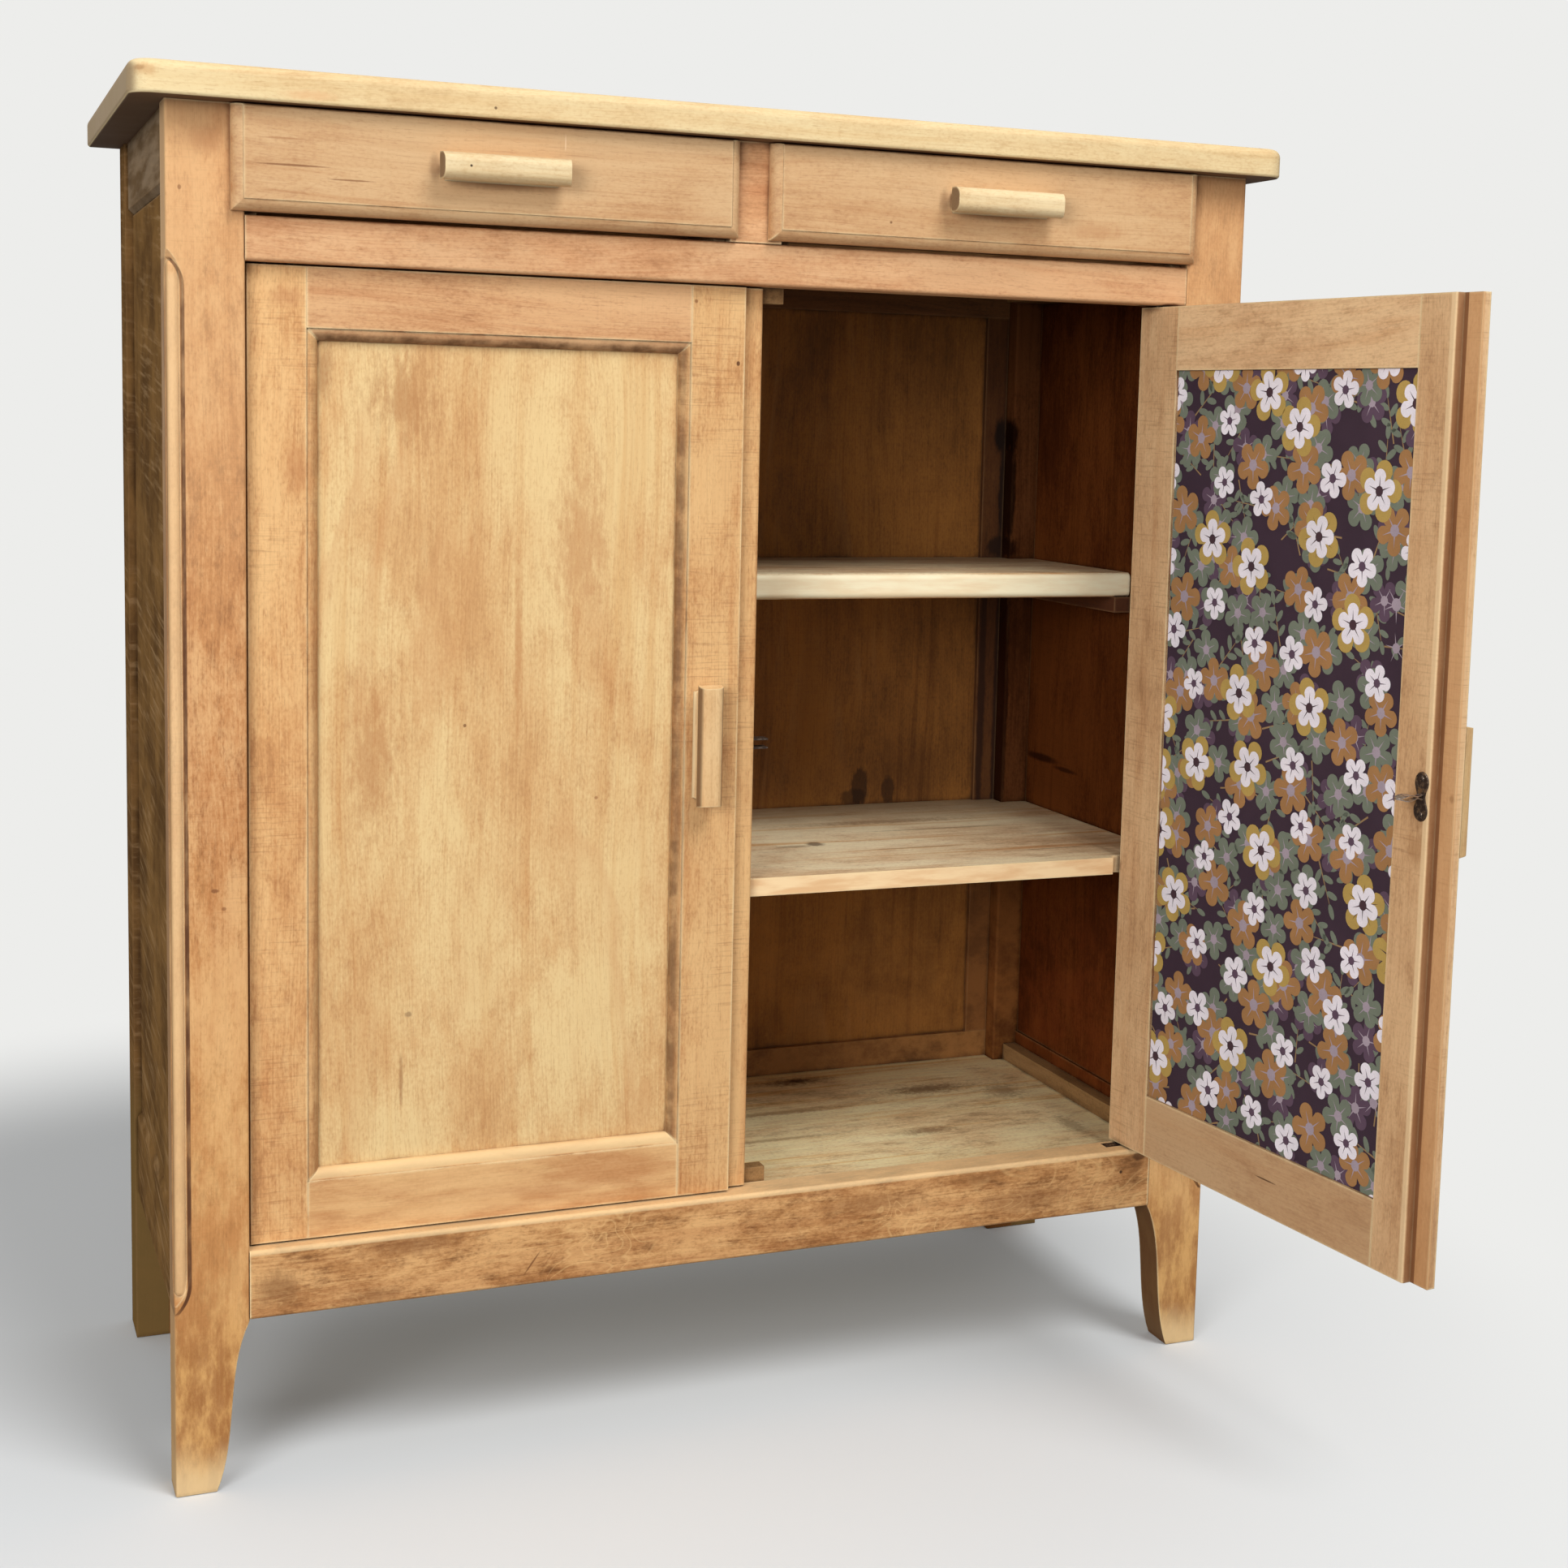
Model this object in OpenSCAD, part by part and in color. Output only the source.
// Two-door, two-drawer wooden buffet cabinet.
// The front faces -Y, X runs to the right and Z up from the floor. The origin is the
// centre of the carcass on the floor. The right door stands open, all else is closed.

/* [Carcass] */
// Width over the outer faces of the posts
carcass_w = 1000; // [900:10:1200]
// Depth over the faces of the front and rear posts
carcass_d = 400; // [360:10:500]
// Height of the posts, which is the underside of the worktop
carcass_h = 1160; // [1080:10:1240]

/* [Worktop] */
// Thickness of the worktop
top_t = 27; // [24:1:40]
// How far the worktop passes each side of the carcass
top_side = 29; // [10:1:45]
// How far the worktop passes the front of the posts
top_front = 25; // [16:1:45]
// Radius of the front corners in plan
top_corner_r = 20; // [14:1:60]
// Rounding of the worktop's upper edges
top_edge_r = 8; // [4:1:11]
// Rounding of the worktop's lower edges
top_under_r = 3; // [1:0.5:8]

/* [Posts] */
// Width of every post
post_w = 62; // [56:1:75]
// Depth of the front posts
front_post_d = 34; // [32:1:36]
// Depth of the rear posts
rear_post_d = 50; // [42:1:60]
// Rounding of the posts' long edges
post_edge_r = 2.5; // [0.5:0.5:4]
// Width of a front foot at the floor
foot_w = 34; // [26:1:44]
// How much the foot widens above the floor, up to its ankle
ankle_gain = 14; // [6:1:16]
// Height over which the foot widens to its ankle
ankle_rise = 35; // [20:1:60]
// Radius of the bead on the outer front corner
bead_r = 5.3; // [3:0.1:6]
// Distance of the bead's middle from both faces of the post
bead_in = 5.8; // [5:0.1:7]
// Leg of the stopped chamfer that the bead lies in
chamfer_leg = 13; // [12.5:0.5:16]
// Height where the bead starts
bead_z0 = 194; // [180:1:260]
// Distance from the top of the post to the bead's upper end
bead_top_gap = 144; // [120:1:200]
// Length of the chamfer's curved run-out
run_out = 28; // [20:1:40]

/* [Front rails] */
// Height of the bottom rail's lower edge
bottom_rail_z = 148; // [120:1:170]
// Height of the bottom rail
bottom_rail_h = 60.4; // [50:0.1:80]
// Height of the rail between doors and drawers
mid_rail_h = 36.4; // [30:0.1:50]
// Height of the zone that the drawers fill, up to the worktop
drawer_zone_h = 87; // [80:1:120]
// Height of the thin rail under the worktop
top_rail_h = 20; // [16:1:24]
// Rounding of the rails' front edges
rail_edge_r = 3; // [1:0.5:5]
// Width of the upright between the drawers
divider_w = 48; // [44:1:60]
// Thickness of the part of the upright that laps over the thin rail
divider_lap = 12; // [8:1:18]

/* [Joinery] */
// Thickness of the tenons
tenon_t = 12; // [8:1:14]
// Length of the front rails' tenons
tenon_l = 28; // [16:1:30]
// Length of the side rails' tenons
side_tenon_l = 18; // [12:1:22]
// Shoulder above and below a tenon
shoulder = 5; // [3:1:6]
// Thickness of the door rails' tenons
door_tenon_t = 6; // [4:0.5:7]
// Length of the door rails' tenons
door_tenon_l = 28; // [16:1:34]
// Distance from the doors' fronts to those tenons
door_tenon_in = 4.5; // [3:0.5:5]

/* [Sides] */
// Thickness of the side rails
side_rail_t = 32; // [26:1:34]
// How far the side rails lie behind the posts' outer faces
side_in = 3; // [1:1:5]
// Height of the side top rail
side_top_h = 66; // [50:1:80]
// Height of the side bottom rail
side_bottom_h = 84; // [60:1:100]
// Thickness of the side panels
side_panel_t = 25; // [20:1:26]
// Thickness of the tongue round a side panel
side_tongue_t = 12; // [8:1:14]
// How far a side panel lies outside the rails' inner faces
side_panel_in = 3; // [1:1:5]
// How deep every panel sits in its grooves
panel_tongue = 6; // [4:1:8]
// Width of the moulding round a side panel
side_mould = 6; // [4:1:12]

/* [Back] */
// Thickness of the back rails and stiles
back_t = 20; // [16:1:24]
// How far the back frame lies in front of the posts' rear faces
back_in = 10; // [6:1:20]
// Height of the back bottom rail
back_bottom_h = 82; // [62:1:100]
// Width of the back stiles
back_stile_w = 26; // [20:1:40]
// Thickness of the back panel
back_panel_t = 8; // [5:1:10]

/* [Bottom and shelves] */
// How far the bottom board lies under the top of the bottom rail
board_drop = 8; // [4:1:12]
// Thickness of the bottom board
board_t = 18; // [14:1:22]
// Height of the lower shelf's upper face
low_shelf_z = 498; // [420:1:560]
// Thickness of the lower shelf
low_shelf_t = 17; // [14:1:22]
// Distance from the carcass front to the lower shelf
low_shelf_in = 31; // [30:1:60]
// Room round the doors' hinge edges where the lower shelf is cut away
swing_gap = 2; // [1:0.5:6]
// Height of the upper shelf's upper face
up_shelf_z = 772; // [700:1:850]
// Thickness of the upper shelf
up_shelf_t = 25; // [20:1:32]
// Distance from the carcass front to the upper shelf
up_shelf_in = 134; // [80:1:220]
// Rounding of the upper shelf's front edges
shelf_edge_r = 6; // [2:0.5:9]
// Gap at each end of a shelf
shelf_gap = 1; // [0.5:0.5:3]
// Width of the cleats that carry the shelves
cleat_w = 18; // [12:1:24]
// Height of the cleats
cleat_h = 16; // [12:1:24]
// Height of the strip that covers the joint of side and bottom board
strip_h = 18; // [12:1:24]
// Distance from the front posts to that strip
strip_in = 8; // [4:1:16]

/* [Doors] */
// Thickness of the doors
door_t = 17; // [16:0.5:17.5]
// How far the doors lie behind the front of the posts
door_recess = 11.6; // [10:0.1:12]
// Gap above and below a door
door_gap = 1.6; // [1:0.1:3]
// Gap between a door and its post
hinge_gap = 0.6; // [0.5:0.1:1]
// Gap between the two doors
meeting_gap = 0.8; // [0.5:0.1:1.5]
// Distance of the doors' meeting line to the left of the middle
meeting_left = 3.5; // [0:0.5:8]
// Width of the tongue on the left door
lap_w = 20; // [14:1:24]
// How far the tongue lies behind the left door's front
lap_d = 9; // [8.5:0.1:10]
// Gap between the tongue and the lip that covers it
lap_gap = 0.5; // [0.4:0.1:1]
// Rounding of the tongue's outer edge
tongue_edge_r = 3; // [1:0.5:5]
// Rounding of the worn edge beside the right door's rebate
rebate_edge_r = 2; // [0.5:0.5:4]
// Flat width of the stiles and rails
frame_w = 50; // [40:1:60]
// Width of the moulding round a door panel
mould_w = 10; // [8:0.5:14]
// Depth of the moulding, down to the panel
mould_d = 8.7; // [7:0.1:10]
// Step where the moulding leaves the flat of the frame
mould_step = 1.5; // [0.5:0.1:3]
// Thickness of the door panels
panel_t = 4.5; // [3:0.1:5]
// Thickness of the paper lining
lining_t = 0.4; // [0.2:0.1:1]
// How far the right door stands open
door_open = 96.5; // [0:0.5:108]

/* [Door pivots] */
// Distance from the door's hinge edge to the pivot
pivot_in = 17; // [15:0.5:18]
// Radius that the hinge edge is rounded to, about the pivot
hinge_edge_r = 17.2; // [15.2:0.1:18.2]
// Radius of a pivot pin
pin_r = 3; // [2.5:0.1:3.5]
// Clearance between pin and eye
pin_clear = 0.05; // [0.02:0.01:0.1]
// Length of a pin above its plate
pin_l = 9; // [7:0.5:14]
// Length of a pivot plate from the pivot away from the post
plate_l = 24; // [18:1:40]
// Width of a pivot plate
plate_w = 12; // [10:1:14]
// Thickness of a pivot plate
plate_t = 2.4; // [1.5:0.1:3]
// Distance from the doors' hinge edge to a pivot plate
plate_in = 3; // [1:0.5:5]
// Room round a pin in the wood of the door
pin_room = 1; // [0.5:0.1:2]

/* [Drawers] */
// Gap between the two drawer fronts
drawer_gap = 29; // [24:1:38]
// How far a drawer front lies over the post beside it
drawer_over = 7.5; // [6:0.5:14]
// How far both drawer fronts sit to the left of the middle
drawer_left = 4; // [0:0.5:5]
// Thickness of the part of a front that lies over the frame
lip_t = 13; // [10:0.5:14]
// Thickness of the part of a front that enters the frame
entry_t = 12; // [10:1:16]
// Gap between a drawer front and the frame behind it
front_gap = 0.4; // [0.3:0.1:1]
// Gap between a drawer front and the rail under it
under_gap = 2.6; // [2:0.1:6]
// Gap between a drawer front and the worktop
over_gap = 1.2; // [1:0.1:5]
// Rounding of the fronts' side and lower edges
front_edge_r = 9; // [4:0.5:9.5]
// Step between that rounding and the flat of the front
front_step = 1; // [0.5:0.1:1.5]
// Rounding of the fronts' upper edge
front_top_r = 2; // [1:0.5:4]
// Gap at each side of a drawer box
box_gap = 1; // [0.5:0.1:2]
// Gap between a drawer box and its runner
run_gap = 0.4; // [0.3:0.1:1]
// Gap between a drawer box and the kicker above it
kick_gap = 4; // [2:0.5:8]
// Thickness of the drawer sides and back
side_t = 10; // [8:0.5:12]
// Length of the drawer sides
drawer_l = 318; // [260:1:330]
// How far a drawer's back lies in front of the sides' ends
back_inset = 10; // [4:1:16]
// How far a drawer's back ends below the sides' upper edge
back_drop = 4; // [0:0.5:8]
// Thickness of the drawer bottoms
drawer_bottom_t = 5; // [4:0.5:8]
// Height of the groove for the bottom above the side's lower edge
groove_up = 7; // [5:0.5:10]
// Depth of that groove
groove_d = 4; // [3:0.5:5]
// How far a runner passes the post or divider beside it
runner_lap = 14; // [12:1:20]
// Height of the runners
runner_h = 20; // [14:1:30]
// Height of the guides beside the drawers
guide_h = 17; // [12:1:30]

/* [Handles] */
// Length of a handle at its front
handle_l = 110; // [80:1:140]
// Width of a handle
handle_w = 22; // [18:0.5:26]
// How far a handle stands out
handle_out = 25; // [18:0.5:28]
// How much shorter each end is at the base
handle_taper = 7; // [2:0.5:10]
// How much shorter each end is at the front
handle_nose = 2; // [0.5:0.5:4]
// Radius of the finger groove along each side of a handle
grip_r = 6.5; // [4:0.1:7]
// How far the middle of that groove lies outside the handle
grip_off = 1; // [0:0.1:3]
// Rounding of a handle's front edges
handle_edge_r = 8; // [2:0.5:8.5]
// How far the drawer handles sit above the middle of the fronts
handle_up = 2; // [0:0.5:6]
// Height of the middle of the door handles
door_handle_z = 628; // [560:1:700]
// Distance from the doors' meeting line to the left handle's middle
left_handle_in = 32; // [24:1:36]
// Distance from the doors' meeting line to the right handle's middle
right_handle_in = 24; // [22:1:36]

/* [Catch and stops] */
// Height of the catch
catch_z = 624; // [560:1:700]
// Width of the catch plate
catch_w = 16; // [12:1:18]
// Distance from the catch plate to the edge of the rebate
catch_edge = 1; // [0.5:0.5:4]
// Length of the catch plate
catch_l = 42; // [36:1:60]
// Distance from the ends of the catch plate to its screws
catch_screw_in = 6; // [4:0.5:8]
// Thickness of the catch plate
catch_t = 1.2; // [1:0.1:1.6]
// Radius of the catch's screws
catch_screw_r = 1.5; // [1:0.1:2]
// Length of the catch's screws
catch_screw_l = 12; // [8:0.5:14]
// Radius of their heads
catch_head_r = 2.8; // [2.4:0.1:3.5]
// Height of their heads
catch_head_h = 1; // [0.5:0.1:1.2]
// How far the catch's bullet stands off the door
bullet_l = 29; // [20:1:34]
// Radius of the bullet's stem and ring wire
wire_r = 2; // [1.5:0.1:2.5]
// Radius of the bullet's ring
ring_r = 5; // [4:0.1:6]
// Room between the bullet and each prong of the clip
prong_gap = 1.2; // [0.6:0.1:2]
// Thickness of the clip's metal
clip_t = 1.6; // [1:0.1:2]
// Length of the clip's base
clip_l = 23; // [16:1:30]
// Distance from the clip's base to the edge of the tongue
clip_edge = 1; // [0.5:0.5:3]
// Length of the foot that each prong of the clip has on its base
prong_foot = 7; // [4:0.5:10]
// Length of the door stops
stop_l = 54; // [40:1:80]
// How far the door stops start to the left of the doors' meeting line
stop_left = 12; // [6:1:20]
// Depth of the door stops
stop_d = 14; // [10:1:20]
// How far a stop reaches past the rail's edge into the door opening
stop_reach = 14; // [8:1:20]
// Distance from the doors' backs to the stops
stop_gap = 1.4; // [0.5:0.1:3]
// Radius of the worktop screws
screw_r = 2.2; // [1.5:0.1:3]
// Radius of the worktop screws' heads
screw_head_r = 4.5; // [3:0.1:6]
// Height of the worktop screws' heads
screw_head_h = 3; // [2:0.1:4]
// Length of the worktop screws
screw_l = 32; // [26:1:40]

/* [Hidden] */
$fn = 48;
eps = 0.01;

// Colours of the wood and the metal
WOOD = [0.82, 0.62, 0.42];
PALE = [0.86, 0.74, 0.56];
DARK = [0.55, 0.36, 0.22];
PAPER = [0.35, 0.26, 0.36];
METAL = [0.30, 0.28, 0.27];

// Places along the depth
front_y = -carcass_d / 2;
back_y = carcass_d / 2;
front_post_back_y = front_y + front_post_d;
rear_post_front_y = back_y - rear_post_d;
back_frame_y = back_y - back_in - back_t;
door_front_y = front_y + door_recess;
door_back_y = door_front_y + door_t;
rail_back_y = door_back_y + stop_gap;
rail_t = rail_back_y - front_y;
back_panel_y = back_frame_y + (back_t - back_panel_t) / 2;

// Places along the width, on the right half
outer_x = carcass_w / 2;
open_x = outer_x - post_w;
side_inner_x = outer_x - side_in - side_rail_t;
side_panel_x = side_inner_x + side_panel_in;

// Heights
bottom_rail_top = bottom_rail_z + bottom_rail_h;
board_z = bottom_rail_top - board_drop;
mid_rail_top = carcass_h - drawer_zone_h;
mid_rail_z = mid_rail_top - mid_rail_h;
top_rail_z = carcass_h - top_rail_h;
side_top_z = carcass_h - side_top_h;
side_bottom_top = bottom_rail_z + side_bottom_h;
back_bottom_top = bottom_rail_z + back_bottom_h;

// Door outline, seen from the front
door_z0 = bottom_rail_top + door_gap;
door_z1 = mid_rail_z - door_gap;
hinge_x = open_x - hinge_gap;
meet_x = -meeting_left;
left_edge_x = meet_x - meeting_gap / 2;
right_edge_x = meet_x + meeting_gap / 2;
tongue_x = left_edge_x + lap_w;
rebate_x = tongue_x + meeting_gap;
member_w = frame_w + mould_w;
pivot_x = hinge_x - pivot_in;
pivot_y = door_front_y + door_t / 2;
swing_y = pivot_y + hinge_edge_r + swing_gap;
swing_x = pivot_x - hinge_edge_r - swing_gap;

// Drawer places, for the right-hand drawer
drawer_x0 = drawer_gap / 2;
drawer_x1 = open_x + drawer_over;
box_x0 = divider_w / 2 + box_gap;
box_x1 = open_x - box_gap;
drawer_mid_x = (box_x0 + box_x1) / 2;
front_z0 = mid_rail_top + under_gap;
front_z1 = carcass_h - over_gap;
lip_back_y = front_y - front_gap;
entry_back_y = lip_back_y + entry_t;
box_z0 = mid_rail_top + run_gap;
box_z1 = top_rail_z - kick_gap;
drawer_back_y = entry_back_y + drawer_l;
drawer_floor_z = box_z0 + groove_up;

// Closed box between two corners
module block(a, b) {
    translate(a) cube([b[0] - a[0], b[1] - a[1], b[2] - a[2]]);
}

// The piece on the left, and its mirror image on the right
module on_both_sides() {
    children();
    mirror([1, 0, 0]) children();
}

// Rectangle with chosen rounded corners; each corner is [low or high x, low or high y, radius]
module rounded_rect(x0, y0, x1, y1, corners) {
    difference() {
        translate([x0, y0]) square([x1 - x0, y1 - y0]);
        for (c = corners) {
            cx = c[0] == 0 ? x0 + c[2] : x1 - c[2];
            cy = c[1] == 0 ? y0 + c[2] : y1 - c[2];
            qx = c[0] == 0 ? x0 - 1 : cx;
            qy = c[1] == 0 ? y0 - 1 : cy;
            difference() {
                translate([qx, qy]) square([c[2] + 1, c[2] + 1]);
                translate([cx, cy]) circle(r = c[2]);
            }
        }
    }
}

// A bar along X whose section is drawn in Y and Z
module along_x(x0, x1) {
    translate([x0, 0, 0]) rotate([90, 0, 90]) linear_extrude(x1 - x0) children();
}

// A bar along Y whose section is drawn in X and Z
module along_y(y0, y1) {
    translate([0, y1, 0]) rotate([90, 0, 0]) linear_extrude(y1 - y0) children();
}

// Section of the worktop's edge, from the corner's middle outwards
module top_edge_section() {
    rounded_rect(0, 0, top_corner_r, top_t, [[1, 0, top_under_r], [1, 1, top_edge_r]]);
}

module worktop() {
    x_in = outer_x + top_side - top_corner_r;
    y_in = front_y - top_front + top_corner_r;
    color(PALE) difference() {
        translate([0, 0, carcass_h]) union() {
            block([-x_in, y_in, 0], [x_in, back_y, top_t]);
            translate([0, y_in, 0]) along_x(-x_in, x_in) mirror([1, 0]) top_edge_section();
            on_both_sides() translate([x_in, back_y, 0]) rotate([90, 0, 0])
                linear_extrude(back_y - y_in) top_edge_section();
            translate([x_in, y_in, 0]) rotate([0, 0, -90]) rotate_extrude(angle = 90) top_edge_section();
            translate([-x_in, y_in, 0]) rotate([0, 0, 180]) rotate_extrude(angle = 90) top_edge_section();
        }
        worktop_screw_set();
    }
}

// Width of a front foot at the height z
function foot_edge(z) =
    foot_w + ankle_gain * (1 - exp(-z / ankle_rise)) / (1 - exp(-bottom_rail_z / ankle_rise))
    + (post_w - foot_w - ankle_gain) * pow(z / bottom_rail_z, 5);

// Front view of the left front post, from its outer edge
module front_post_outline() {
    steps = 16;
    curve = [for (i = [0:steps - 1]) [foot_edge(i * bottom_rail_z / steps), i * bottom_rail_z / steps]];
    polygon(concat([[0, 0]], curve, [[post_w, bottom_rail_z], [post_w, carcass_h], [0, carcass_h]]));
}

// Stopped chamfer on the outer front corner, with curved ends
module stopped_chamfer() {
    depth = chamfer_leg / sqrt(2);
    scoop_r = (run_out * run_out + depth * depth) / (2 * depth);
    bead_z1 = carcass_h - bead_top_gap;
    translate([0, 0, bead_z0]) linear_extrude(bead_z1 - bead_z0)
        polygon([[-1, -1], [chamfer_leg + 1, -1], [-1, chamfer_leg + 1]]);
    for (z = [bead_z0, bead_z1])
        translate([0, 0, z]) rotate([0, 0, 45]) translate([depth - scoop_r, 0, 0])
            rotate([90, 0, 0]) cylinder(r = scoop_r, h = 4 * chamfer_leg, center = true, $fn = 96);
}

// Bead that lies in the stopped chamfer
module corner_bead() {
    low = bead_z0 - run_out / 2;
    high = carcass_h - bead_top_gap + run_out / 2;
    translate([bead_in, bead_in, low]) cylinder(r = bead_r, h = high - low);
    for (z = [low, high]) translate([bead_in, bead_in, z]) sphere(r = bead_r);
}

// Left front post, before its mortises
module front_post_body() {
    translate([-outer_x, front_y, 0]) union() {
        difference() {
            intersection() {
                along_y(0, front_post_d) front_post_outline();
                linear_extrude(carcass_h)
                    rounded_rect(0, 0, post_w, front_post_d, [[0, 0, post_edge_r], [1, 0, post_edge_r]]);
            }
            stopped_chamfer();
        }
        corner_bead();
    }
}

// Tenons of the left ends of the front rails
module front_rail_tenons() {
    y0 = front_y + (rail_t - tenon_t) / 2;
    x0 = -open_x - tenon_l;
    rails = [[bottom_rail_z, bottom_rail_top], [mid_rail_z, mid_rail_top], [top_rail_z, carcass_h]];
    for (r = rails)
        block([x0, y0, r[0] + shoulder], [-open_x + eps, y0 + tenon_t, r[1] - shoulder]);
}

// Tenons of the left side rails, front and back
module side_rail_tenons() {
    x0 = -outer_x + side_in + (side_rail_t - tenon_t) / 2;
    rails = [[bottom_rail_z, side_bottom_top], [side_top_z, carcass_h]];
    for (r = rails)
        block([x0, front_post_back_y - side_tenon_l, r[0] + shoulder],
              [x0 + tenon_t, rear_post_front_y + side_tenon_l, r[1] - shoulder]);
}

// Tenons of the left ends of the back rails
module back_rail_tenons() {
    y0 = back_frame_y + (back_t - tenon_t) / 2;
    rails = [[bottom_rail_z, back_bottom_top], [mid_rail_z, carcass_h]];
    for (r = rails)
        block([-open_x - tenon_l, y0, r[0] + shoulder], [-open_x + eps, y0 + tenon_t, r[1] - shoulder]);
}

// Space that the left side panel fills, with its tongue in the grooves
module side_panel_body() {
    x0 = -side_panel_x - side_panel_t;
    x1 = x0 + (side_panel_t - side_tongue_t) / 2;
    block([x0, front_post_back_y, side_bottom_top], [-side_panel_x, rear_post_front_y, side_top_z]);
    block([x1, front_post_back_y - panel_tongue, side_bottom_top - panel_tongue],
          [x1 + side_tongue_t, rear_post_front_y + panel_tongue, side_top_z + panel_tongue]);
}

module front_post() {
    color(WOOD) difference() {
        front_post_body();
        front_rail_tenons();
        side_rail_tenons();
        side_panel_body();
    }
}

module rear_post() {
    color(WOOD) difference() {
        linear_extrude(carcass_h)
            rounded_rect(-outer_x, rear_post_front_y, -open_x, back_y,
                         [[0, 1, post_edge_r], [1, 0, post_edge_r]]);
        side_rail_tenons();
        back_rail_tenons();
        side_panel_body();
    }
}

// One front rail with its tenons, between two heights
module front_rail(z0, z1) {
    along_x(-open_x, open_x)
        rounded_rect(front_y, z0, rail_back_y, z1, [[0, 0, rail_edge_r], [0, 1, rail_edge_r]]);
    on_both_sides() intersection() {
        front_rail_tenons();
        block([-outer_x, front_y, z0], [0, rail_back_y, z1]);
    }
}

module rail_front_top() {
    color(WOOD) difference() {
        front_rail(top_rail_z, carcass_h);
        divider_lap_body();
    }
}

module rail_front_mid() {
    color(WOOD) difference() {
        front_rail(mid_rail_z, mid_rail_top);
        pivot_plate_recess(mid_rail_z, 1);
    }
}

module rail_front_bottom() {
    color(WOOD) difference() {
        front_rail(bottom_rail_z, bottom_rail_top);
        pivot_plate_recess(bottom_rail_top, -1);
    }
}

// Part of the drawer divider that laps over the thin rail, up to the worktop
module divider_lap_body() {
    block([-divider_w / 2, front_y, top_rail_z - eps], [divider_w / 2, front_y + divider_lap, carcass_h]);
}

module drawer_divider() {
    color(WOOD) union() {
        block([-divider_w / 2, front_y, mid_rail_top], [divider_w / 2, rail_back_y, top_rail_z]);
        divider_lap_body();
    }
}

// One left side rail; the moulding lies on the edge next to the panel
module side_rail(z0, z1, mould_low) {
    x0 = -outer_x + side_in;
    edge_z = mould_low ? z0 : z1;
    difference() {
        union() {
            block([x0, front_post_back_y, z0], [x0 + side_rail_t, rear_post_front_y, z1]);
            intersection() {
                side_rail_tenons();
                block([-outer_x, front_y, z0], [0, back_y, z1]);
            }
        }
        side_panel_body();
        along_y(front_y, back_y) translate([x0, edge_z]) rotate(45)
            square(side_mould * sqrt(2), center = true);
    }
}

module side_rail_top() {
    color(WOOD) side_rail(side_top_z, carcass_h, true);
}

module side_rail_bottom() {
    color(WOOD) side_rail(bottom_rail_z, side_bottom_top, false);
}

module side_panel() {
    color(WOOD) side_panel_body();
}

// Space that the back panel fills, grooves included
module back_panel_body() {
    x1 = open_x - back_stile_w + panel_tongue;
    block([-x1, back_panel_y, back_bottom_top - panel_tongue],
          [x1, back_panel_y + back_panel_t, mid_rail_z + panel_tongue]);
}

// One back rail with its tenons, between two heights
module back_rail(z0, z1) {
    color(WOOD) difference() {
        union() {
            block([-open_x, back_frame_y, z0], [open_x, back_frame_y + back_t, z1]);
            on_both_sides() intersection() {
                back_rail_tenons();
                block([-outer_x, front_y, z0], [0, back_y, z1]);
            }
        }
        back_panel_body();
    }
}

module back_stiles() {
    color(WOOD) on_both_sides() difference() {
        block([-open_x, back_frame_y, back_bottom_top],
              [-open_x + back_stile_w, back_frame_y + back_t, mid_rail_z]);
        back_panel_body();
    }
}

module back_panel() {
    color(DARK) back_panel_body();
}

// A board that is cut round the rear posts and the back stiles
module fitted_board(x1, y0, y1, z0, z1) {
    difference() {
        block([-x1, y0, z0], [x1, y1, z1]);
        on_both_sides() {
            block([-x1 - 1, rear_post_front_y - shelf_gap, z0 - 1], [-open_x + shelf_gap, back_y, z1 + 1]);
            block([-x1 - 1, back_frame_y, z0 - 1], [-open_x + back_stile_w + shelf_gap, back_y, z1 + 1]);
        }
    }
}

module bottom_board() {
    color(DARK) difference() {
        fitted_board(side_inner_x, rail_back_y, back_frame_y, board_z - board_t, board_z);
        on_both_sides() block([-side_inner_x - 1, rail_back_y - 1, board_z - board_t - 1],
                              [-open_x, front_post_back_y, board_z + 1]);
    }
}

module bottom_ledgers() {
    z1 = board_z - board_t;
    color(WOOD) on_both_sides()
        block([-side_inner_x, front_post_back_y, z1 - cleat_h],
              [-side_inner_x + cleat_w, rear_post_front_y, z1]);
}

module bottom_strips() {
    strip_t = cleat_w - side_panel_in;
    color(PALE) on_both_sides()
        block([-side_inner_x, front_post_back_y + strip_in, board_z],
              [-side_inner_x + strip_t, rear_post_front_y - shelf_gap, board_z + strip_h]);
}

module shelf_upper() {
    x1 = side_panel_x - shelf_gap;
    color(PALE) intersection() {
        fitted_board(x1, front_y + up_shelf_in, back_panel_y - shelf_gap, up_shelf_z - up_shelf_t, up_shelf_z);
        along_x(-x1, x1) rounded_rect(front_y + up_shelf_in, up_shelf_z - up_shelf_t, back_y, up_shelf_z,
                                      [[0, 0, shelf_edge_r], [0, 1, shelf_edge_r]]);
    }
}

module shelf_lower() {
    x1 = side_panel_x - shelf_gap;
    y0 = front_y + low_shelf_in;
    z0 = low_shelf_z - low_shelf_t;
    color(PALE) difference() {
        fitted_board(x1, y0, back_panel_y - shelf_gap, z0, low_shelf_z);
        on_both_sides() block([-x1 - 1, y0 - 1, z0 - 1], [-swing_x, swing_y, low_shelf_z + 1]);
    }
}

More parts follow.
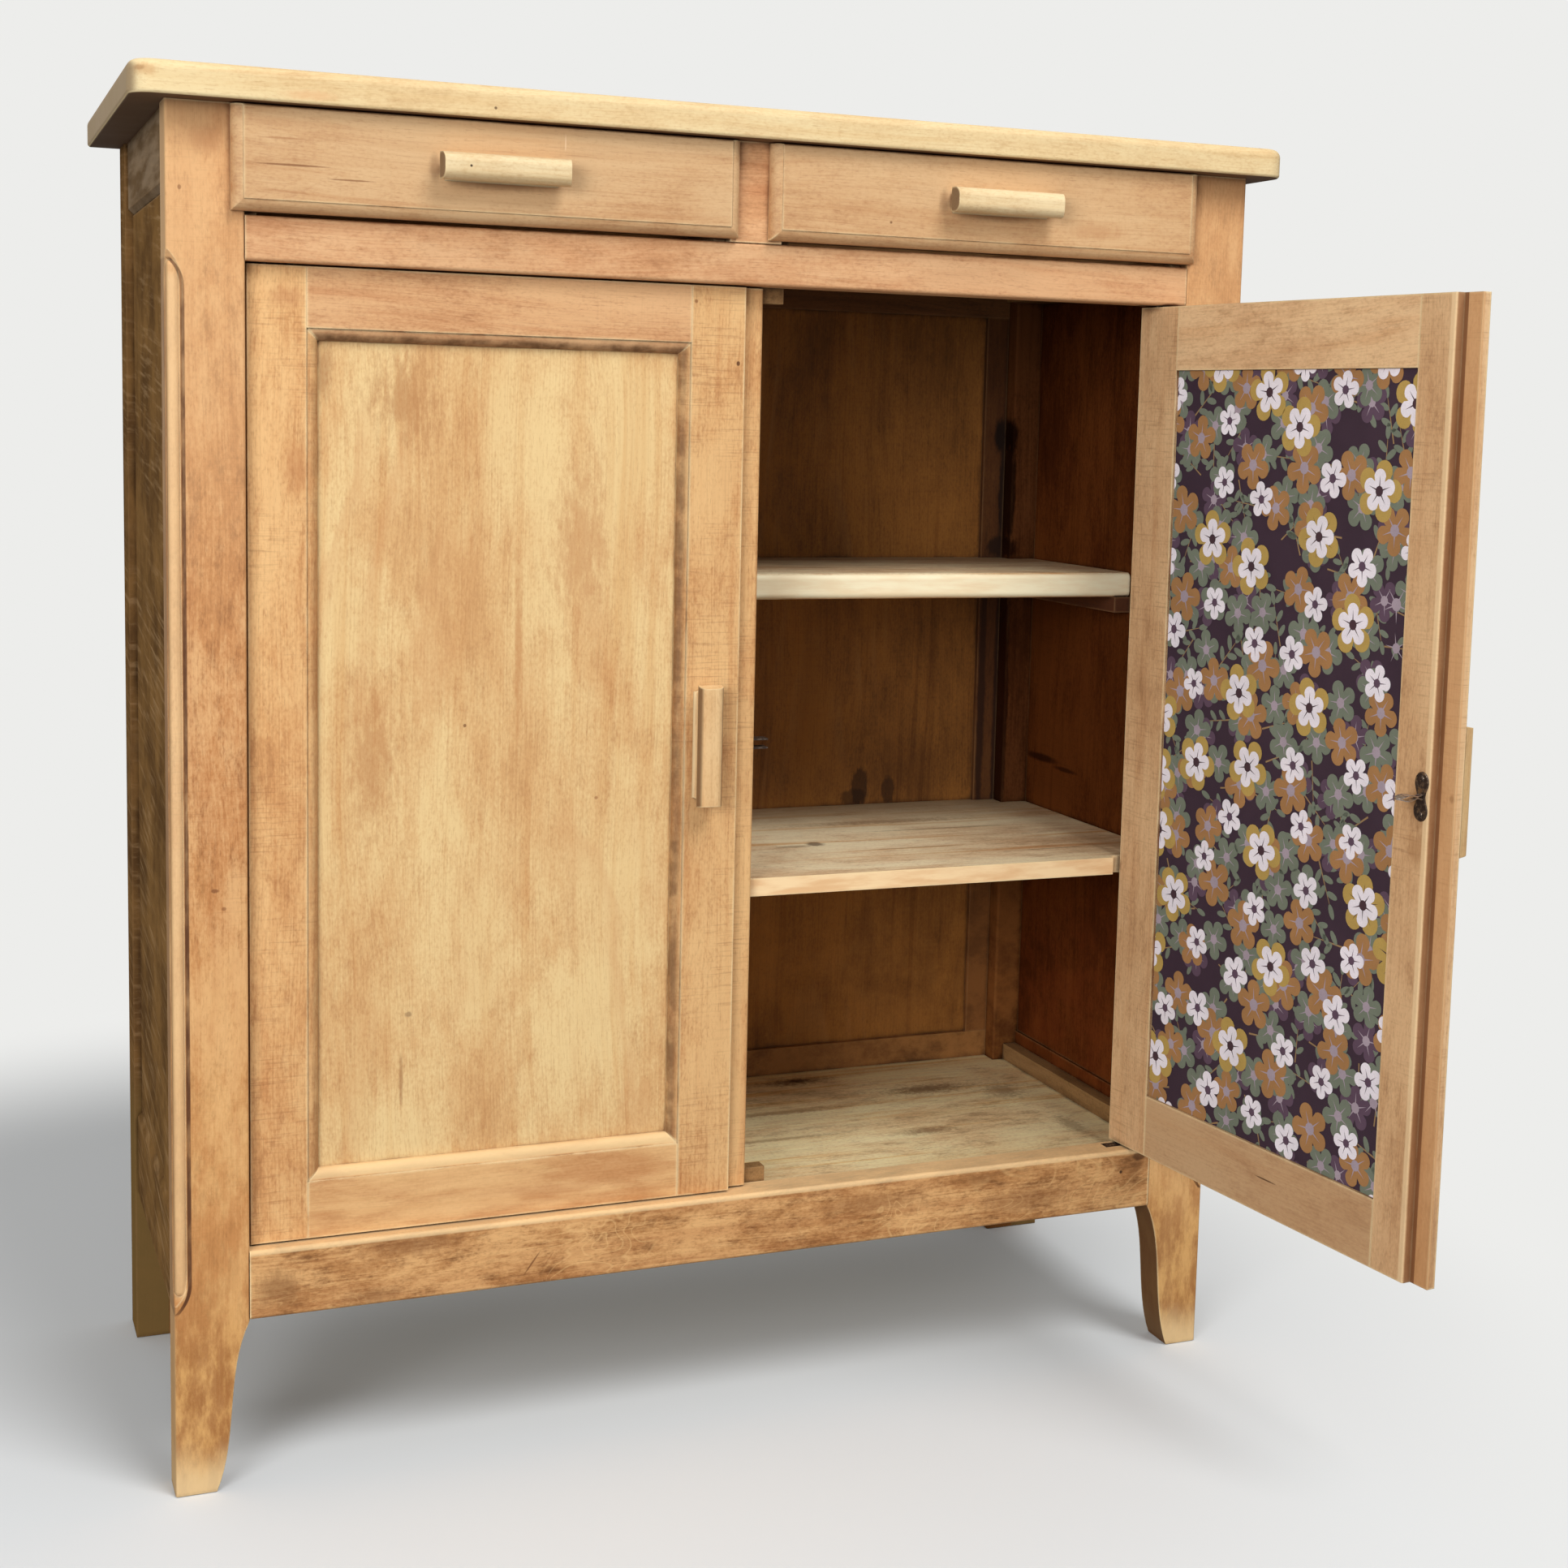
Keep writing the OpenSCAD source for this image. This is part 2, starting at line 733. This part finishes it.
module shelf_cleats() {
    low = [front_post_back_y, low_shelf_z - low_shelf_t];
    high = [front_y + up_shelf_in, up_shelf_z - up_shelf_t];
    color(WOOD) on_both_sides() for (c = [low, high])
        block([-side_panel_x, c[0], c[1] - cleat_h], [-side_panel_x + cleat_w, rear_post_front_y, c[1]]);
}

// Inner edge of the runner and the kicker beside a post
beside_x = open_x - runner_lap;
// Half width of the runner and the kicker behind the divider
middle_x = divider_w / 2 + runner_lap;

module drawer_runners() {
    z0 = mid_rail_top - runner_h;
    color(WOOD) {
        on_both_sides()
            block([-side_panel_x, front_post_back_y, z0], [-beside_x, rear_post_front_y, mid_rail_top]);
        block([-middle_x, rail_back_y, z0], [middle_x, back_frame_y, mid_rail_top]);
    }
}

module drawer_guides() {
    z1 = mid_rail_top + guide_h;
    color(WOOD) {
        on_both_sides()
            block([-side_panel_x, front_post_back_y, mid_rail_top], [-open_x, rear_post_front_y, z1]);
        block([-divider_w / 2, rail_back_y, mid_rail_top], [divider_w / 2, back_frame_y, z1]);
    }
}

module drawer_kickers() {
    color(WOOD) difference() {
        union() {
            on_both_sides()
                block([-side_inner_x, front_post_back_y, top_rail_z],
                      [-beside_x, rear_post_front_y, carcass_h]);
            block([-middle_x, rail_back_y, top_rail_z], [middle_x, back_frame_y, carcass_h]);
        }
        worktop_screw_set();
    }
}

// Screws that hold the worktop down, through the kickers from below
module worktop_screw_set() {
    for (x = [-side_inner_x + cleat_w, 0, side_inner_x - cleat_w])
        for (y = [front_y / 2, back_y / 2])
            translate([x, y, top_rail_z]) {
                cylinder(r = screw_r, h = screw_l);
                cylinder(r = screw_head_r, h = screw_head_h);
            }
}

module worktop_screws() {
    color(METAL) worktop_screw_set();
}

// Left end of the door stops, behind the left door's meeting stile
stop_x = meet_x - stop_left;

module door_stop_top() {
    color(WOOD) block([stop_x, rail_back_y, mid_rail_z - stop_reach],
                      [stop_x + stop_l, rail_back_y + stop_d, mid_rail_top - runner_h]);
}

module door_stop_bottom() {
    color(WOOD) block([stop_x, rail_back_y, board_z],
                      [stop_x + stop_l, rail_back_y + stop_d, bottom_rail_top + stop_reach]);
}

// Flat outline of a pivot plate about the pivot; the long side points away from the post
module plate_outline() {
    translate([-plate_l, -plate_w / 2]) square([plate_l + pivot_in - plate_in, plate_w]);
}

// Recesses for the frame's pivot plates; way is the side of the face z that the plate lies on
module pivot_plate_recess(z, way) {
    z0 = way > 0 ? z : z - plate_t;
    on_both_sides() translate([pivot_x, pivot_y, z0]) linear_extrude(plate_t) plate_outline();
}

// Frame plates with their pins, at the bottom and the top of both doors
module frame_pivots() {
    color(METAL) on_both_sides() {
        translate([pivot_x, pivot_y, bottom_rail_top - plate_t]) {
            linear_extrude(plate_t) plate_outline();
            cylinder(r = pin_r, h = plate_t + pin_l);
        }
        translate([pivot_x, pivot_y, mid_rail_z]) {
            linear_extrude(plate_t) plate_outline();
            translate([0, 0, -pin_l]) cylinder(r = pin_r, h = plate_t + pin_l);
        }
    }
}

// Eye plates in the ends of the right-hand door
module pivot_eyes() {
    color(METAL) for (z = [door_z0, door_z1 - plate_t])
        translate([pivot_x, pivot_y, z]) difference() {
            linear_extrude(plate_t) plate_outline();
            translate([0, 0, -1]) cylinder(r = pin_r + pin_clear, h = plate_t + 2);
        }
}

// What the pivots take out of the right-hand door's hinge stile
module pivot_cuts() {
    depth = pin_l + 2 * pin_room;
    for (z = [door_z0 - eps, door_z1 - plate_t])
        translate([pivot_x, pivot_y, z]) linear_extrude(plate_t + eps) plate_outline();
    for (z = [door_z0 - eps, door_z1 - depth])
        translate([pivot_x, pivot_y, z]) cylinder(r = pin_r + pin_room, h = depth + eps);
}

// Section of the moulding, from the flat of the frame (0) to the panel, front at 0
module mould_section() {
    r = mould_d - mould_step;
    polygon([[0, mould_step], [0, mould_d], [mould_w - r, mould_d], [mould_w - r, mould_step]]);
    intersection() {
        translate([mould_w - r, mould_d]) circle(r = r);
        translate([mould_w - r, mould_step]) square([r, r]);
    }
}

// Moulded strip along X with mitred ends; it starts at [x0, z0] and widens upwards
module mould_strip(x0, x1, z0) {
    intersection() {
        along_x(x0, x1) translate([door_front_y, z0]) mirror([1, -1]) mould_section();
        along_y(door_front_y, door_front_y + mould_d)
            polygon([[x0, z0], [x1, z0], [x1 - mould_w, z0 + mould_w], [x0 + mould_w, z0 + mould_w]]);
    }
}

// Space that a door's panel fills, for a door between xa and xb
module door_panel_body(xa, xb) {
    y0 = door_front_y + mould_d;
    g = member_w - panel_tongue;
    block([xa + g, y0, door_z0 + g], [xb - g, y0 + panel_t, door_z1 - g]);
}

// Tenons of a door's rails
module door_tenons(xa, xb) {
    y0 = door_front_y + door_tenon_in;
    for (x = [xa + member_w - door_tenon_l, xb - member_w - eps])
        for (z = [door_z0 + shoulder, door_z1 - frame_w + shoulder])
            block([x, y0, z], [x + door_tenon_l + eps, y0 + door_tenon_t, z + frame_w - 2 * shoulder]);
}

// Bottom rail of a door that spans xa to xb, with its moulding
module door_rail_body(xa, xb) {
    difference() {
        union() {
            block([xa + member_w, door_front_y + mould_d, door_z0],
                  [xb - member_w, door_back_y, door_z0 + member_w]);
            block([xa + frame_w, door_front_y, door_z0],
                  [xb - frame_w, door_front_y + mould_d, door_z0 + frame_w]);
            mould_strip(xa + frame_w, xb - frame_w, door_z0 + frame_w);
            intersection() {
                door_tenons(xa, xb);
                block([xa, door_front_y, door_z0], [xb, door_back_y, door_z0 + member_w]);
            }
        }
        door_panel_body(xa, xb);
    }
}

module door_bottom_rail(xa, xb) {
    color(WOOD) door_rail_body(xa, xb);
}

module door_top_rail(xa, xb) {
    color(WOOD) translate([0, 0, door_z0 + door_z1]) mirror([0, 0, 1]) door_rail_body(xa, xb);
}

// Left stile of a door that spans xa to xb, with its moulding
module door_stile_body(xa, xb) {
    difference() {
        union() {
            block([xa, door_front_y + mould_d, door_z0], [xa + member_w, door_back_y, door_z1]);
            block([xa, door_front_y, door_z0], [xa + frame_w, door_front_y + mould_d, door_z1]);
            translate([xa - door_z0, 0, 0]) mirror([1, 0, -1])
                mould_strip(door_z0 + frame_w, door_z1 - frame_w, door_z0 + frame_w);
        }
        door_panel_body(xa, xb);
        door_tenons(xa, xb);
    }
}

// Hinge stile of a left-hand door as wide as x1 says; its edge is rounded about the pivot
module door_hinge_stile(x1) {
    color(WOOD) difference() {
        door_stile_body(-hinge_x, x1);
        difference() {
            block([-hinge_x - 1, door_front_y - 1, door_z0 - 1], [-pivot_x, door_back_y + 1, door_z1 + 1]);
            translate([-pivot_x, pivot_y, door_z0 - 2])
                cylinder(r = hinge_edge_r, h = door_z1 - door_z0 + 4, $fn = 96);
        }
        mirror([1, 0, 0]) pivot_cuts();
    }
}

// Wooden bar handle, its length along X and its base on the plane y = 0
module handle_bar() {
    base_l = handle_l - 2 * handle_taper;
    half = handle_w / 2;
    color(PALE) intersection() {
        along_x(-handle_l / 2, handle_l / 2) difference() {
            rounded_rect(-handle_out, -half, 0, half,
                         [[0, 0, handle_edge_r], [0, 1, handle_edge_r]]);
            for (s = [-1, 1]) translate([-grip_r, s * (half + grip_off)]) circle(r = grip_r);
        }
        translate([0, 0, -half - 1]) linear_extrude(handle_w + 2)
            polygon([[-base_l / 2, 0], [base_l / 2, 0], [handle_l / 2, -handle_out / 2],
                     [handle_l / 2 - handle_nose, -handle_out], [-handle_l / 2 + handle_nose, -handle_out],
                     [-handle_l / 2, -handle_out / 2]]);
    }
}

// A handle on a door, upright, its middle at x
module door_handle(x) {
    translate([x, door_front_y, door_handle_z]) rotate([0, 90, 0]) handle_bar();
}

// Moves the right-hand door from closed to where it stands
module swung_open() {
    translate([pivot_x, pivot_y, 0]) rotate([0, 0, door_open]) translate([-pivot_x, -pivot_y, 0]) children();
}

module right_door_hinge_stile() {
    mirror([1, 0, 0]) door_hinge_stile(-right_edge_x);
}

// The left door's meeting stile carries the tongue
module left_door_meeting_stile() {
    color(WOOD) union() {
        mirror([1, 0, 0]) door_stile_body(-left_edge_x, hinge_x);
        translate([0, 0, door_z0]) linear_extrude(door_z1 - door_z0)
            rounded_rect(left_edge_x - 1, door_front_y + lap_d, tongue_x, door_back_y, [[1, 0, tongue_edge_r]]);
    }
}

// The right door's meeting stile is cut back behind its lip
module right_door_meeting_stile() {
    lip_y = door_front_y + lap_d - lap_gap;
    color(WOOD) difference() {
        door_stile_body(right_edge_x, hinge_x);
        block([right_edge_x - 1, lip_y, door_z0 - 1], [rebate_x, door_back_y + 1, door_z1 + 1]);
        catch_screw_holes();
        translate([0, 0, door_z0 - 1]) linear_extrude(door_z1 - door_z0 + 2) difference() {
            translate([rebate_x - 1, door_back_y - rebate_edge_r]) square(rebate_edge_r + 1);
            translate([rebate_x + rebate_edge_r, door_back_y - rebate_edge_r]) circle(r = rebate_edge_r);
        }
    }
}

module door_panel(xa, xb) {
    color(PALE) door_panel_body(xa, xb);
}

module right_door_lining() {
    y0 = door_front_y + mould_d + panel_t;
    color(PAPER) block([right_edge_x + member_w, y0, door_z0 + member_w],
                       [hinge_x - member_w, y0 + lining_t, door_z1 - member_w]);
}

// Catch: the bullet's middle lies half a plate from the edge of the rebate
catch_x = rebate_x + catch_edge + catch_w / 2;
catch_screw_up = catch_l / 2 - catch_screw_in;

module catch_screw_holes() {
    for (s = [-1, 1]) translate([catch_x, door_back_y + catch_t + catch_head_h, catch_z + s * catch_screw_up])
        rotate([90, 0, 0]) cylinder(r = catch_screw_r, h = catch_screw_l);
}

module right_door_catch_bullet() {
    y0 = door_back_y;
    stem_l = bullet_l - 2 * ring_r - wire_r;
    color(METAL) difference() {
        union() {
            translate([catch_x, y0 + catch_t, catch_z]) rotate([90, 0, 0]) linear_extrude(catch_t) union() {
                square([catch_w, catch_l - catch_w], center = true);
                for (s = [-1, 1]) translate([0, s * (catch_l - catch_w) / 2]) circle(d = catch_w);
            }
            translate([catch_x, y0 + catch_t + stem_l, catch_z]) rotate([90, 0, 0])
                cylinder(r = wire_r, h = stem_l + catch_t / 2);
            translate([catch_x, y0 + catch_t + stem_l + ring_r, catch_z])
                rotate_extrude() translate([ring_r, 0]) circle(r = wire_r);
        }
        catch_screw_holes();
    }
}

module right_door_catch_screws() {
    color(METAL) {
        catch_screw_holes();
        for (s = [-1, 1]) translate([catch_x, door_back_y + catch_t, catch_z + s * catch_screw_up])
            rotate([-90, 0, 0]) cylinder(r1 = catch_head_r, r2 = catch_head_r - catch_head_h, h = catch_head_h);
    }
}

// Clip on the back of the left door; the bullet runs in between its two prongs
module left_door_catch_clip() {
    base_x1 = tongue_x - clip_edge;
    half = wire_r + prong_gap;
    tip_x = catch_x + ring_r + wire_r;
    color(METAL) {
        block([base_x1 - clip_l, door_back_y, catch_z - half - clip_t],
              [base_x1, door_back_y + clip_t, catch_z + half + clip_t]);
        for (z = [catch_z - half - clip_t, catch_z + half])
            block([base_x1 - prong_foot, door_back_y + clip_t - eps, z],
                  [tip_x, door_back_y + bullet_l / 2, z + clip_t]);
    }
}

// Front of the right-hand drawer, moved sideways by shift: a lip over the frame and a part that enters it
module drawer_front_body(shift) {
    y0 = lip_back_y - lip_t;
    y1 = y0 + front_step;
    r = front_edge_r;
    x0 = drawer_x0 + shift;
    x1 = drawer_x1 + shift;
    color(WOOD) difference() {
        union() {
            intersection() {
                translate([0, 0, front_z0]) linear_extrude(front_z1 - front_z0) union() {
                    rounded_rect(x0, y1, x1, lip_back_y, [[0, 0, r], [1, 0, r]]);
                    translate([x0 + r, y0]) square([x1 - x0 - 2 * r, lip_t]);
                }
                along_x(x0, x1) union() {
                    rounded_rect(y1, front_z0, lip_back_y, front_z1, [[0, 0, r], [0, 1, front_top_r]]);
                    rounded_rect(y0, front_z0 + r, lip_back_y, front_z1, [[0, 1, front_top_r]]);
                }
            }
            block([box_x0, lip_back_y - eps, front_z0], [box_x1, entry_back_y, box_z1]);
        }
        drawer_bottom_body();
    }
}

module drawer_handle_body() {
    translate([drawer_mid_x, lip_back_y - lip_t, (front_z0 + front_z1) / 2 + handle_up]) handle_bar();
}

module drawer_sides_body() {
    color(PALE) difference() {
        for (x = [box_x0, box_x1 - side_t])
            block([x, entry_back_y, box_z0], [x + side_t, drawer_back_y, box_z1]);
        drawer_bottom_body();
    }
}

module drawer_back_body() {
    color(PALE) block([box_x0 + side_t, drawer_back_y - back_inset - side_t, drawer_floor_z + drawer_bottom_t],
                      [box_x1 - side_t, drawer_back_y - back_inset, box_z1 - back_drop]);
}

module drawer_bottom_body() {
    inset = side_t - groove_d;
    color(PALE) block([box_x0 + inset, entry_back_y - groove_d, drawer_floor_z],
                      [box_x1 - inset, drawer_back_y - back_inset, drawer_floor_z + drawer_bottom_t]);
}

worktop();
front_post();  // post_front_left
mirror([1, 0, 0]) front_post();  // post_front_right
rear_post();  // post_rear_left
mirror([1, 0, 0]) rear_post();  // post_rear_right
rail_front_top();
rail_front_mid();
rail_front_bottom();
drawer_divider();
side_rail_top();  // side_rail_top_left
mirror([1, 0, 0]) side_rail_top();  // side_rail_top_right
side_rail_bottom();  // side_rail_bottom_left
mirror([1, 0, 0]) side_rail_bottom();  // side_rail_bottom_right
side_panel();  // side_panel_left
mirror([1, 0, 0]) side_panel();  // side_panel_right
back_rail(mid_rail_z, carcass_h);  // back_rail_top
back_rail(bottom_rail_z, back_bottom_top);  // back_rail_bottom
back_stiles();
back_panel();
bottom_board();
bottom_ledgers();
bottom_strips();
shelf_upper();
shelf_lower();
shelf_cleats();
drawer_runners();
drawer_guides();
drawer_kickers();
door_stop_top();
door_stop_bottom();
frame_pivots();
worktop_screws();
door_hinge_stile(left_edge_x);  // left_door_hinge_stile
left_door_meeting_stile();
door_top_rail(-hinge_x, left_edge_x);  // left_door_top_rail
door_bottom_rail(-hinge_x, left_edge_x);  // left_door_bottom_rail
door_panel(-hinge_x, left_edge_x);  // left_door_panel
door_handle(meet_x - left_handle_in);  // left_door_handle
mirror([1, 0, 0]) pivot_eyes();  // left_door_pivot_eyes
left_door_catch_clip();
swung_open() right_door_hinge_stile();
swung_open() right_door_meeting_stile();
swung_open() door_top_rail(right_edge_x, hinge_x);  // right_door_top_rail
swung_open() door_bottom_rail(right_edge_x, hinge_x);  // right_door_bottom_rail
swung_open() door_panel(right_edge_x, hinge_x);  // right_door_panel
swung_open() right_door_lining();
swung_open() door_handle(meet_x + right_handle_in);  // right_door_handle
swung_open() pivot_eyes();  // right_door_pivot_eyes
swung_open() right_door_catch_bullet();
swung_open() right_door_catch_screws();
mirror([1, 0, 0]) drawer_front_body(drawer_left);  // left_drawer_front
mirror([1, 0, 0]) drawer_handle_body();  // left_drawer_handle
mirror([1, 0, 0]) drawer_sides_body();  // left_drawer_sides
mirror([1, 0, 0]) drawer_back_body();  // left_drawer_back
mirror([1, 0, 0]) drawer_bottom_body();  // left_drawer_bottom
drawer_front_body(-drawer_left);  // right_drawer_front
drawer_handle_body();  // right_drawer_handle
drawer_sides_body();  // right_drawer_sides
drawer_back_body();  // right_drawer_back
drawer_bottom_body();  // right_drawer_bottom
